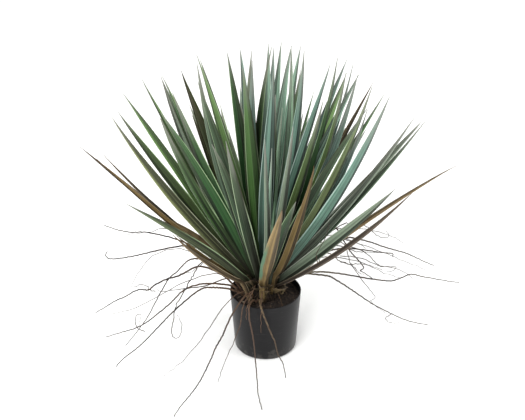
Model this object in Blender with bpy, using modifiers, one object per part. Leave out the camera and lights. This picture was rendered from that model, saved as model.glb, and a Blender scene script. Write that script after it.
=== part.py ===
"""Potted agave: a stiff rosette of sword leaves and wiry roots in a plain round pot.

Built in metres with +Z up. The origin is the middle of the pot's base, on the
surface that the pot stands on, and -Y is the side that faces the viewer.
"""

import math

import bmesh
import bpy
from mathutils import Matrix, Vector

MM = 0.001
GAP = 0.3 * MM

# Pot: a thin tapered cup with a rounded foot and a plain rim.
POT_HEIGHT = 128 * MM
POT_TOP_RADIUS = 70 * MM
POT_BASE_RADIUS = 61.5 * MM
POT_WALL = 2.2 * MM
POT_FLOOR = 3 * MM
POT_FOOT_ROUND = 7 * MM
POT_SEGMENTS = 48

# Growing medium: fills the pot to just under the rim.
MEDIUM_TOP = 117.5 * MM
MEDIUM_EDGE_DROP = 1.5 * MM
MEDIUM_SEGMENTS = 40

# Crown: a short fibrous stump, half an egg, with a plug down in the medium.
CROWN_X = -6 * MM
CROWN_Y = -2 * MM
CROWN_WAIST = 125 * MM
CROWN_RADIUS = 34 * MM
CROWN_RISE = 48 * MM
CROWN_FOOT_RADIUS = 31 * MM
CROWN_PLUG_RADIUS = 20 * MM
CROWN_PLUG_BOTTOM = 72 * MM
CROWN_SEGMENTS = 32
CROWN_CENTRE = Vector((CROWN_X, CROWN_Y, CROWN_WAIST))

# Leaves: where they sit on the crown and how a blade is shaped.
SEAT_SPREAD = 1.45
SEAT_LOWEST = 80
LEAF_STATIONS = (0.0, 0.05, 0.12, 0.22, 0.34, 0.48, 0.62, 0.76, 0.88, 0.96)
LEAF_WIDEST_AT = 0.42
LEAF_BASE_SHARE = 0.5
LEAF_TAPER_POWER = 1.8
LEAF_BASE_THICKNESS = 2.6 * MM
LEAF_TIP_THICKNESS = 0.9 * MM
FOLD_AT_BASE = 0.34
FOLD_AT_TIP = 0.12

# Roots: round strands that thin out towards the end.
ROOT_RADIUS = 1.25 * MM
ROOT_TIP_SHARE = 0.6
ROOT_SEAT_GAP = 0.6 * MM
ROOT_STUB = 8 * MM
ROOT_STEPS_PER_SPAN = 3

# Planting plan, one row a leaf:
# bearing, lean (degrees), length, width (mm), arch, roll (degrees).
# Bearing turns from +X towards +Y. Lean is from the vertical. A positive arch
# droops the tip and a negative one lifts it.
INNER_LEAVES = (
    (186, 13, 452, 22, 3, 4),
    (146, 9, 431, 22, 2, -15),
    (252, 12, 456, 23, 3, 4),
    (84, 12, 434, 22, 2, -10),
    (278, 14, 467, 24, 4, 8),
    (50, 6, 447, 21, 2, 20),
    (320, 7, 467, 21, 3, -14),
)
MIDDLE_LEAVES = (
    (172, 32, 431, 22, -3, 8),
    (162, 29, 433, 22, -2, -12),
    (219, 26, 435, 23, 4, 10),
    (143, 31, 419, 22, -2, 12),
    (196, 21, 440, 22, -2, -8),
    (232, 19, 464, 24, 4, 12),
    (170, 18, 422, 23, 3, -14),
    (136, 20, 419, 22, 3, 10),
    (104, 22, 430, 22, 3, -10),
    (84, 26, 434, 22, 3, 8),
    (72, 33, 408, 22, 3, 10),
    (60, 17, 434, 22, 3, -12),
    (320, 16, 470, 23, 4, 8),
    (12, 18, 442, 23, 3, -10),
    (48, 32, 416, 22, 4, 12),
    (340, 20, 454, 24, 4, -8),
    (24, 29, 414, 22, 3, 12),
    (316, 27, 458, 23, 5, -8),
    (247, 27, 404, 23, 6, -12),
)
OUTER_LEAVES = (
    (218, 44, 366, 23, 8, 12),
    (202, 33, 450, 21, -14, -10),
    (154, 43, 412, 21, -4, 8),
    (330, 41, 350, 22, -8, 30),
    (285, 34, 326, 21, 4, 10),
    (356, 37, 418, 23, -3, 8),
    (30, 51, 430, 21, -4, -10),
    (46, 48, 446, 21, 3, 10),
    (98, 48, 425, 22, 5, -8),
    (72, 50, 430, 22, 5, 8),
    (126, 55, 410, 21, 5, -8),
)
DRY_LEAVES = (
    (174, 48, 414, 15, -4, 10),
    (202, 41, 414, 15, -3, -12),
    (12, 57, 416, 13, 10, 12),
    (314, 44, 440, 14, -16, -10),
    (275, 42, 442, 24, 6, 14),
    (296, 28, 356, 20, 5, -16),
)

# Root routes, one row a strand: bearing and tilt of its seat on the crown in
# degrees, then its points in millimetres from the middle of the pot's base.
ROOTS = (
    (185, 86, ((-72, -8, 142), (-118, -12, 148), (-157, -15, 137), (-188, -18, 106), (-220, -21, 77),
               (-251, -24, 55), (-290, -27, 42), (-319, -29, 33))),
    (206, 84, ((-68, -32, 148), (-98, -46, 161), (-125, -57, 163), (-168, -78, 135), (-191, -88, 115),
               (-234, -108, 75), (-268, -124, 53), (-283, -131, 38))),
    (192, 80, ((-74, -13, 176), (-104, -15, 201), (-135, -18, 208), (-151, -20, 203), (-170, -22, 182),
               (-188, -24, 165), (-213, -27, 119), (-237, -30, 74), (-279, -36, 17))),
    (200, 90, ((-80, -16, 168), (-126, -23, 194), (-165, -30, 178), (-188, -34, 173), (-214, -39, 161),
               (-225, -44, 154), (-244, -43, 154), (-272, -49, 141), (-287, -55, 137), (-310, -57, 122),
               (-327, -60, 113))),
    (166, 84, ((-84, 19, 178), (-122, 29, 199), (-161, 40, 203), (-217, 54, 184), (-238, 60, 175),
               (-278, 71, 159), (-316, 82, 148), (-326, 84, 155), (-322, 84, 165))),
    (150, 88, ((-78, 28, 160), (-130, 45, 192), (-184, 62, 208), (-239, 84, 209), (-273, 95, 203),
               (-302, 106, 203), (-330, 116, 208))),
    (236, 84, ((-34, -40, 143), (-49, -64, 139), (-67, -90, 121), (-81, -109, 95), (-93, -127, 81),
               (-104, -142, 60), (-122, -168, 34), (-139, -192, 21), (-155, -214, 13), (-166, -231, 4))),
    (254, 88, ((-24, -50, 134), (-31, -72, 137), (-31, -90, 121), (-25, -105, 95), (-22, -115, 77),
               (-18, -135, 38), (-14, -175, 10), (-7, -213, 4))),
    (270, 86, ((-11, -50, 136), (-10, -72, 138), (-2, -88, 120), (10, -98, 92), (18, -106, 75),
               (23, -117, 58), (33, -128, 42), (38, -142, 20))),
    (352, 86, ((40, -6, 150), (67, -4, 166), (106, -2, 169), (145, -2, 165), (185, -2, 157), (240, -2, 148),
               (261, -2, 153), (283, -2, 163), (312, -2, 157), (356, -2, 148), (380, -2, 144))),
    (336, 84, ((38, -20, 158), (66, -28, 180), (114, -46, 188), (132, -52, 183), (161, -63, 168),
               (193, -74, 149), (221, -85, 137), (264, -100, 123), (305, -115, 122))),
    (18, 80, ((54, 18, 170), (92, 28, 222), (118, 33, 250), (138, 38, 244), (150, 40, 222), (168, 44, 189),
              (197, 52, 148), (191, 50, 140), (199, 53, 133), (219, 60, 114))),
    (24, 88, ((74, 24, 152), (119, 44, 186), (151, 55, 187), (182, 66, 181), (233, 85, 162), (260, 95, 153),
              (262, 96, 145))),
    (40, 84, ((80, 50, 166), (153, 72, 200), (198, 93, 186), (250, 118, 154), (296, 139, 128), (345, 162, 92),
              (365, 171, 78))),
)

# Finishes: base colour and roughness.
FINISHES = {
    "pot_plastic": ((0.030, 0.030, 0.032), 0.45),
    "medium_grit": ((0.045, 0.034, 0.026), 0.95),
    "crown_fibre": ((0.110, 0.068, 0.036), 0.92),
    "leaf_green": ((0.075, 0.150, 0.095), 0.55),
    "leaf_dry": ((0.230, 0.150, 0.085), 0.70),
    "root_bark": ((0.160, 0.095, 0.050), 0.80),
}


def clear_scene():
    """Remove every object that the file starts with."""
    for scene_object in list(bpy.data.objects):
        bpy.data.objects.remove(scene_object, do_unlink=True)


def new_collection(name):
    """Make a collection under the scene's own."""
    collection = bpy.data.collections.new(name)
    bpy.context.scene.collection.children.link(collection)
    return collection


def new_material(name, colour, roughness):
    """Make a plain finish from a base colour and a roughness."""
    material = bpy.data.materials.new(name)
    material.use_nodes = True
    shader = material.node_tree.nodes["Principled BSDF"]
    shader.inputs["Base Color"].default_value = (*colour, 1.0)
    shader.inputs["Roughness"].default_value = roughness
    shader.inputs["Metallic"].default_value = 0.0
    return material


def new_object(name, data, collection, material):
    """Put a mesh or a curve in the collection as a named, finished object."""
    item = bpy.data.objects.new(name, data)
    collection.objects.link(item)
    data.materials.append(material)
    return item


def turned_object(name, profile, segments, collection, material):
    """Turn a profile of (radius, height) points round the object's own Z axis."""
    mesh = bpy.data.meshes.new(name)
    points = [(radius, 0.0, height) for radius, height in profile]
    edges = [(index, index + 1) for index in range(len(points) - 1)]
    mesh.from_pydata(points, edges, [])
    item = new_object(name, mesh, collection, material)
    screw = item.modifiers.new("turn", "SCREW")
    screw.axis = "Z"
    screw.angle = math.tau
    screw.steps = segments
    screw.render_steps = segments
    screw.use_merge_vertices = True
    screw.merge_threshold = 0.01 * MM
    screw.use_smooth_shade = True
    return item


# ---------------------------------------------------------------- pot and medium


def wall_radius(height):
    """Outer radius of the pot's tapered wall at a height."""
    share = height / POT_HEIGHT
    return POT_BASE_RADIUS + (POT_TOP_RADIUS - POT_BASE_RADIUS) * share


def cup_side(inset, floor, top, corner):
    """Points down a cup's side from its top edge, round its foot, to its middle."""
    centre_height = floor + corner
    centre_radius = wall_radius(centre_height) - inset - corner
    side = [(wall_radius(top) - inset, top)]
    for degrees in (0, 22.5, 45, 67.5, 90):
        turn = math.radians(degrees)
        radius = centre_radius + corner * math.cos(turn)
        height = centre_height - corner * math.sin(turn)
        side.append((radius, height))
    side.append((0.0, floor))
    return side


def build_pot(collection, material):
    """The pot: inner floor and wall, a half-round rim, then the outer wall and base."""
    rim_round = POT_WALL / 2
    rim_base = POT_HEIGHT - rim_round
    inner = cup_side(POT_WALL, POT_FLOOR, rim_base, POT_FOOT_ROUND - POT_WALL)
    outer = cup_side(0.0, 0.0, rim_base, POT_FOOT_ROUND)
    rim_middle = wall_radius(rim_base) - rim_round
    rim = []
    for degrees in (135, 90, 45):
        turn = math.radians(degrees)
        rim.append((rim_middle + rim_round * math.cos(turn), rim_base + rim_round * math.sin(turn)))
    profile = list(reversed(inner)) + rim + outer
    return turned_object("pot", profile, POT_SEGMENTS, collection, material)


def build_medium(collection, cutters, material):
    """The growing medium: a plug of the pot's inner shape with a socket for the crown."""
    inset = POT_WALL + GAP
    side = cup_side(inset, POT_FLOOR + GAP, MEDIUM_TOP - MEDIUM_EDGE_DROP, POT_FOOT_ROUND - inset)
    shoulder = wall_radius(MEDIUM_TOP) - inset - 8 * MM
    profile = [(0.0, MEDIUM_TOP), (shoulder, MEDIUM_TOP)] + side
    medium = turned_object("growing_medium", profile, MEDIUM_SEGMENTS, collection, material)

    socket_bottom = CROWN_PLUG_BOTTOM - GAP
    socket_top = MEDIUM_TOP + 10 * MM
    bpy.ops.mesh.primitive_cylinder_add(
        vertices=CROWN_SEGMENTS,
        radius=CROWN_PLUG_RADIUS + 2 * GAP,
        depth=socket_top - socket_bottom,
        location=(CROWN_X, CROWN_Y, (socket_top + socket_bottom) / 2),
    )
    cutter = bpy.context.active_object
    cutter.name = "socket_cutter"
    for holder in list(cutter.users_collection):
        holder.objects.unlink(cutter)
    cutters.objects.link(cutter)
    cutter.hide_render = True
    cutter.display_type = "WIRE"
    cut = medium.modifiers.new("socket", "BOOLEAN")
    cut.operation = "DIFFERENCE"
    cut.object = cutter
    return medium


# ---------------------------------------------------------------- crown


def build_crown(collection, material):
    """The crown: half an egg above its waist, a short foot, and a plug below."""
    foot = MEDIUM_TOP + GAP - CROWN_WAIST
    profile = []
    for degrees in range(0, 91, 10):
        turn = math.radians(degrees)
        profile.append((CROWN_RADIUS * math.sin(turn), CROWN_RISE * math.cos(turn)))
    profile += [
        (CROWN_FOOT_RADIUS, foot),
        (CROWN_PLUG_RADIUS, foot),
        (CROWN_PLUG_RADIUS, CROWN_PLUG_BOTTOM - CROWN_WAIST),
        (0.0, CROWN_PLUG_BOTTOM - CROWN_WAIST),
    ]
    crown = turned_object("crown", profile, CROWN_SEGMENTS, collection, material)
    crown.location = CROWN_CENTRE
    return crown


def crown_seat(bearing, tilt, lift):
    """A point over the crown at a bearing and a tilt from its top, lifted off its surface."""
    turn = math.radians(bearing)
    fall = math.radians(tilt)
    across = Vector((math.cos(turn), math.sin(turn), 0.0))
    up = Vector((0.0, 0.0, 1.0))
    point = CROWN_RADIUS * math.sin(fall) * across + CROWN_RISE * math.cos(fall) * up
    normal = math.sin(fall) / CROWN_RADIUS * across + math.cos(fall) / CROWN_RISE * up
    normal.normalize()
    return CROWN_CENTRE + point + lift * normal


def slide_to_crown(point, direction):
    """Slide a point along a direction until it lies one gap off the crown."""
    shrink = Matrix.Diagonal((
        1 / (CROWN_RADIUS + GAP),
        1 / (CROWN_RADIUS + GAP),
        1 / (CROWN_RISE + GAP),
    ))
    start = shrink @ (point - CROWN_CENTRE)
    step = shrink @ direction
    a = step.dot(step)
    b = start.dot(step)
    c = start.dot(start) - 1
    distance = (math.sqrt(max(b * b - a * c, 0.0)) - b) / a
    return point + distance * direction


# ---------------------------------------------------------------- leaves


def width_share(share):
    """Width of a blade at a share of its length, as a part of its widest."""
    if share < LEAF_WIDEST_AT:
        swell = math.sin(math.pi / 2 * share / LEAF_WIDEST_AT)
        return LEAF_BASE_SHARE + (1 - LEAF_BASE_SHARE) * swell
    return 1 - ((share - LEAF_WIDEST_AT) / (1 - LEAF_WIDEST_AT)) ** LEAF_TAPER_POWER


def blade_frame(bearing, lean, roll):
    """Tangent, side and upper-face directions of a blade at a lean."""
    turn = math.radians(bearing)
    fall = math.radians(lean)
    across = Vector((math.cos(turn), math.sin(turn), 0.0))
    up = Vector((0.0, 0.0, 1.0))
    tangent = math.sin(fall) * across + math.cos(fall) * up
    side = Vector((-math.sin(turn), math.cos(turn), 0.0))
    face = math.sin(fall) * up - math.cos(fall) * across
    spin = Matrix.Rotation(math.radians(roll), 3, tangent)
    return tangent, spin @ side, spin @ face


def blade_ring(centre, side, face, half_width, fold, thickness):
    """The four corners of a blade's folded section: margin, keel top, margin, keel bottom."""
    rise = fold * half_width * face
    return [
        centre - half_width * side + rise,
        centre + thickness / 2 * face,
        centre + half_width * side + rise,
        centre - thickness / 2 * face,
    ]


def build_leaf(name, plan, collection, material):
    """One sword leaf: a folded blade lofted along an arched line from its seat on the crown."""
    bearing, lean, length_mm, width_mm, arch, roll = plan
    length = length_mm * MM
    half_width = width_mm / 2 * MM
    tilt = min(SEAT_LOWEST, SEAT_SPREAD * lean)
    centre = crown_seat(bearing, tilt, GAP)
    rings = []
    previous = 0.0
    for share in LEAF_STATIONS + (1.0,):
        middle = (share + previous) / 2
        tangent, _, _ = blade_frame(bearing, lean + arch * (middle - 0.5), roll)
        centre = centre + (share - previous) * length * tangent
        previous = share
        if share == 1.0:
            break
        tangent, side, face = blade_frame(bearing, lean + arch * (share - 0.5), roll)
        fold = FOLD_AT_BASE + (FOLD_AT_TIP - FOLD_AT_BASE) * share
        thickness = LEAF_BASE_THICKNESS + (LEAF_TIP_THICKNESS - LEAF_BASE_THICKNESS) * share
        ring = blade_ring(centre, side, face, half_width * width_share(share), fold, thickness)
        if share == 0.0:
            ring = [slide_to_crown(corner, tangent) for corner in ring]
        rings.append(ring)

    shape = bmesh.new()
    corners = [[shape.verts.new(point) for point in ring] for ring in rings]
    tip = shape.verts.new(centre)
    for lower, upper in zip(corners, corners[1:]):
        for index in range(4):
            follow = (index + 1) % 4
            shape.faces.new((lower[index], lower[follow], upper[follow], upper[index]))
    for index in range(4):
        shape.faces.new((corners[-1][index], corners[-1][(index + 1) % 4], tip))
    shape.faces.new(corners[0])
    bmesh.ops.triangulate(shape, faces=shape.faces[:])
    bmesh.ops.recalc_face_normals(shape, faces=shape.faces[:])
    mesh = bpy.data.meshes.new(name)
    shape.to_mesh(mesh)
    shape.free()
    return new_object(name, mesh, collection, material)


def build_leaf_tier(name, plans, collection, material):
    """All the leaves of one tier, numbered from 1."""
    for number, plan in enumerate(plans, start=1):
        build_leaf(f"{name}_{number:02d}", plan, collection, material)


# ---------------------------------------------------------------- roots


def smooth_route(seat, points):
    """A straight stub off the seat, then a smooth curve through the route's own points."""
    padded = [seat] + points + [2 * points[-1] - points[-2]]
    curve = [seat, points[0]]
    for before, start, end, after in zip(padded, padded[1:], padded[2:], padded[3:]):
        for step in range(1, ROOT_STEPS_PER_SPAN + 1):
            t = step / ROOT_STEPS_PER_SPAN
            curve.append(0.5 * (
                2 * start
                + (end - before) * t
                + (2 * before - 5 * start + 4 * end - after) * t ** 2
                + (3 * start - before - 3 * end + after) * t ** 3
            ))
    return curve


def build_root(name, bearing, tilt, points_mm, collection, material):
    """One wiry root: a thinning tube from its seat on the crown along its route."""
    seat = crown_seat(bearing, tilt, ROOT_SEAT_GAP)
    stub = crown_seat(bearing, tilt, ROOT_SEAT_GAP + ROOT_STUB)
    route = smooth_route(seat, [stub] + [Vector(point) * MM for point in points_mm])
    data = bpy.data.curves.new(name, "CURVE")
    data.dimensions = "3D"
    data.bevel_depth = ROOT_RADIUS
    data.bevel_resolution = 2
    data.use_fill_caps = True
    spline = data.splines.new("POLY")
    spline.points.add(len(route) - 1)
    for index, point in enumerate(route):
        share = index / (len(route) - 1)
        spline.points[index].co = (*point, 1.0)
        spline.points[index].radius = 1 - (1 - ROOT_TIP_SHARE) * share
    return new_object(name, data, collection, material)


def main():
    """Build every piece of the potted agave."""
    clear_scene()
    collection = new_collection("potted_agave")
    cutters = new_collection("cutters")
    finish = {name: new_material(name, *values) for name, values in FINISHES.items()}
    build_pot(collection, finish["pot_plastic"])
    build_medium(collection, cutters, finish["medium_grit"])
    build_crown(collection, finish["crown_fibre"])
    build_leaf_tier("inner_leaf", INNER_LEAVES, collection, finish["leaf_green"])
    build_leaf_tier("middle_leaf", MIDDLE_LEAVES, collection, finish["leaf_green"])
    build_leaf_tier("outer_leaf", OUTER_LEAVES, collection, finish["leaf_green"])
    build_leaf_tier("dry_leaf", DRY_LEAVES, collection, finish["leaf_dry"])
    for number, (bearing, tilt, points) in enumerate(ROOTS, start=1):
        build_root(f"root_{number:02d}", bearing, tilt, points, collection, finish["root_bark"])


main()
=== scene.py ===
"""Looks of the potted agave: sword leaves, a fibrous crown, wiry roots and a plain pot.

Every piece is made in metres in the frame's own place, with +Z up and -Y towards
the viewer, and rides on the frame's one body.
"""

import logging
import math
import random
from dataclasses import dataclass
from enum import Enum
from typing import Callable, Iterable, Sequence

import bmesh
import bpy
from mathutils import Matrix, Quaternion, Vector, noise


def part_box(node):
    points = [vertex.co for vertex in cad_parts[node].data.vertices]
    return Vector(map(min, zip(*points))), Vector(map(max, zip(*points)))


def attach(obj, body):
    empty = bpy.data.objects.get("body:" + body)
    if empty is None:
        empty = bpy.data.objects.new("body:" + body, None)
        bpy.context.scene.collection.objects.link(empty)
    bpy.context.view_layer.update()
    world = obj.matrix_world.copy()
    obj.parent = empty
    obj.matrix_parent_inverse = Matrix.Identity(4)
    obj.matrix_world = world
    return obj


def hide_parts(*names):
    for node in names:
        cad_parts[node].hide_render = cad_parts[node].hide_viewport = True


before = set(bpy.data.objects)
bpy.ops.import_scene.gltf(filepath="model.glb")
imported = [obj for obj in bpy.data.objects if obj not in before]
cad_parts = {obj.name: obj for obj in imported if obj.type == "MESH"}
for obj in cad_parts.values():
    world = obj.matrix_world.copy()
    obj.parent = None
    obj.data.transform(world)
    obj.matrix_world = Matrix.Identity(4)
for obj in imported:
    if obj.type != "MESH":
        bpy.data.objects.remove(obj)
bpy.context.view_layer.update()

LOG = logging.getLogger("agave")
MM = 0.001
BODY = "root"
UP = Vector((0.0, 0.0, 1.0))
TOWARDS_VIEWER = Vector((0.0, -0.88, 0.47))
BLADE_MAP = "blade"
TONE = "tone"
WELD = 0.002 * MM
BURIED = 5 * MM


# ------------------------------------------------------------------ shared helpers


def paint(red: int, green: int, blue: int) -> tuple[float, float, float, float]:
    """A colour given in display steps of 0 to 255, as linear light.

    Args:
        red: Red step.
        green: Green step.
        blue: Blue step.

    Returns:
        The linear colour with full alpha.
    """
    channels = []
    for step in (red, green, blue):
        share = step / 255
        channels.append(share / 12.92 if share <= 0.04045 else ((share + 0.055) / 1.055) ** 2.4)
    return (*channels, 1.0)


def glide(values: Sequence, place: float):
    """A point on the smooth curve through a list of numbers or vectors.

    Args:
        values: Numbers or vectors, at least two.
        place: Position counted in list steps, from 0 to the last index.

    Returns:
        The interpolated number or vector.
    """
    last = len(values) - 1
    index = min(int(place), last - 1)
    t = place - index
    start, end = values[index], values[index + 1]
    before = values[index - 1] if index > 0 else start + (start - end)
    after = values[index + 2] if index + 2 <= last else end + (end - start)
    return (
        start * (1 - 2.5 * t * t + 1.5 * t ** 3)
        + end * (0.5 * t + 2 * t * t - 1.5 * t ** 3)
        + before * (-0.5 * t + t * t - 0.5 * t ** 3)
        + after * (-0.5 * t * t + 0.5 * t ** 3)
    )


def compass(bearing: float) -> Vector:
    """The level direction of a bearing in degrees, turned from +X towards +Y."""
    turn = math.radians(bearing)
    return Vector((math.cos(turn), math.sin(turn), 0.0))


def finish_mesh(
    shape: bmesh.types.BMesh, name: str, materials: Iterable[bpy.types.Material]
) -> bpy.types.Object:
    """Turns a finished bmesh into a smooth-shaded object in the scene.

    Args:
        shape: The bmesh, freed here.
        name: The piece's name.
        materials: Its material slots in order.

    Returns:
        The new object.
    """
    mesh = bpy.data.meshes.new(name)
    shape.to_mesh(mesh)
    shape.free()
    for material in materials:
        mesh.materials.append(material)
    mesh.shade_smooth()
    piece = bpy.data.objects.new(name, mesh)
    bpy.context.scene.collection.objects.link(piece)
    return piece


def install(piece: bpy.types.Object, slot: str, *nodes: str) -> None:
    """Seats a piece on the frame's body, in place of any CAD nodes named."""
    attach(piece, BODY)
    if nodes:
        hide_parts(*nodes)
    LOG.info("made %s", piece.name)


# ------------------------------------------------------------------ shader maths


@dataclass(frozen=True)
class Signal:
    """A number that changes over a surface. Sums on it add Math nodes."""

    tree: bpy.types.NodeTree
    socket: bpy.types.NodeSocket

    def _math(self, operation: str, *operands: "Signal | float") -> "Signal":
        """Adds one Math node.

        Args:
            operation: The node's operation.
            *operands: Signals to link or plain numbers to set.

        Returns:
            The node's result.
        """
        node = self.tree.nodes.new("ShaderNodeMath")
        node.operation = operation
        for slot, operand in zip(node.inputs, operands):
            if isinstance(operand, Signal):
                self.tree.links.new(operand.socket, slot)
            else:
                slot.default_value = operand
        return Signal(self.tree, node.outputs[0])

    def __add__(self, other: "Signal | float") -> "Signal":
        """Sum."""
        return self._math("ADD", self, other)

    __radd__ = __add__

    def __sub__(self, other: "Signal | float") -> "Signal":
        """Difference."""
        return self._math("SUBTRACT", self, other)

    def __rsub__(self, other: float) -> "Signal":
        """Difference from a number."""
        return self._math("SUBTRACT", other, self)

    def __mul__(self, other: "Signal | float") -> "Signal":
        """Product."""
        return self._math("MULTIPLY", self, other)

    __rmul__ = __mul__

    def __abs__(self) -> "Signal":
        """Size without sign."""
        return self._math("ABSOLUTE", self)

    def step(self, edge: float, softness: float) -> "Signal":
        """A soft switch.

        Args:
            edge: The value at which the result is one half.
            softness: The width over which it goes from 0 to 1.

        Returns:
            0 below the edge and 1 above it.
        """
        ramp = (self - edge) * (1 / softness) + 0.5
        return self._math("MINIMUM", self._math("MAXIMUM", ramp, 0.0), 1.0)


class Surface:
    """One material under construction: a Principled shader and what feeds it."""

    def __init__(self, name: str, constants: dict[str, object]) -> None:
        """Starts the material.

        Args:
            name: The material's name.
            constants: Values for the shader's own sockets.
        """
        self.material = bpy.data.materials.new(name)
        self.material.use_nodes = True
        self.tree = self.material.node_tree
        self.shader = self.tree.nodes["Principled BSDF"]
        for socket, value in constants.items():
            self.shader.inputs[socket].default_value = value

    def node(self, kind: str, settings: dict | None = None, inputs: dict | None = None) -> bpy.types.Node:
        """Adds any node.

        Args:
            kind: The node's type.
            settings: Properties, set first.
            inputs: Socket names or indexes with values, sockets or signals.

        Returns:
            The node.
        """
        made = self.tree.nodes.new(kind)
        for key, value in (settings or {}).items():
            setattr(made, key, value)
        for key, value in (inputs or {}).items():
            if isinstance(value, Signal):
                value = value.socket
            if isinstance(value, bpy.types.NodeSocket):
                self.tree.links.new(value, made.inputs[key])
            else:
                made.inputs[key].default_value = value
        return made

    def signal(self, socket: bpy.types.NodeSocket) -> Signal:
        """Wraps a socket for sums."""
        return Signal(self.tree, socket)

    def axes(self, vector: bpy.types.NodeSocket) -> tuple[Signal, Signal, Signal]:
        """The three parts of a vector socket as signals."""
        parts = self.node("ShaderNodeSeparateXYZ", inputs={0: vector})
        return tuple(self.signal(output) for output in parts.outputs)

    def vector(self, x: "Signal | float", y: "Signal | float", z: "Signal | float") -> bpy.types.NodeSocket:
        """A vector socket from three signals or numbers."""
        return self.node("ShaderNodeCombineXYZ", inputs={0: x, 1: y, 2: z}).outputs[0]

    def place(self) -> bpy.types.NodeSocket:
        """The surface point in the frame's own coordinates."""
        return self.node("ShaderNodeTexCoord").outputs["Object"]

    def tone(self) -> Signal:
        """The shade that each blade, strand or crumb has of its own, from 0 to 1."""
        return self.signal(self.node("ShaderNodeAttribute", {"attribute_name": TONE}).outputs["Fac"])

    def grain(self, where: bpy.types.NodeSocket, scale: float, detail: float = 2.0) -> Signal:
        """Cloudy noise.

        Args:
            where: The coordinates it reads.
            scale: Its scale.
            detail: Its octaves.

        Returns:
            A value of about 0.3 to 0.7.
        """
        made = self.node("ShaderNodeTexNoise", inputs={"Vector": where, "Scale": scale, "Detail": detail})
        return self.signal(made.outputs[0])

    def blend(self, amount: "Signal | float", under: object, over: object) -> bpy.types.NodeSocket:
        """Mixes two colours.

        Args:
            amount: Share of the upper colour.
            under: Colour or socket shown at 0.
            over: Colour or socket shown at 1.

        Returns:
            The mixed colour's socket.
        """
        made = self.node("ShaderNodeMix", {"data_type": "RGBA"}, {0: amount, 6: under, 7: over})
        return made.outputs[2]

    def layered(self, colour: bpy.types.NodeSocket, *layers: tuple) -> bpy.types.NodeSocket:
        """Lays patches of colour over a colour.

        Args:
            colour: The lowest colour.
            *layers: For each one, its pattern, the pattern's value at the patches' edge, how soft that
                edge is, how much of the colour shows, and the colour.

        Returns:
            The topmost colour's socket.
        """
        for pattern, edge, softness, share, over in layers:
            colour = self.blend(pattern.step(edge, softness) * share, colour, over)
        return colour

    def feed(self, socket: str, source: "Signal | bpy.types.NodeSocket") -> None:
        """Links a pattern to one of the shader's sockets."""
        output = source.socket if isinstance(source, Signal) else source
        self.tree.links.new(output, self.shader.inputs[socket])

    def finish(
        self, colour: bpy.types.NodeSocket, roughness: Signal, height: Signal, depth: float, strength: float
    ) -> bpy.types.Material:
        """Feeds the shader and hands the material over.

        Args:
            colour: What feeds the base colour.
            roughness: What feeds the roughness.
            height: The pattern that a Bump node turns into relief.
            depth: The relief's depth in metres.
            strength: How much of the relief shows.

        Returns:
            The material.
        """
        bump = self.node("ShaderNodeBump", inputs={"Height": height, "Distance": depth, "Strength": strength})
        self.feed("Base Color", colour)
        self.feed("Roughness", roughness)
        self.feed("Normal", bump.outputs[0])
        return self.material


# ------------------------------------------------------------------ finishes


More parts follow.
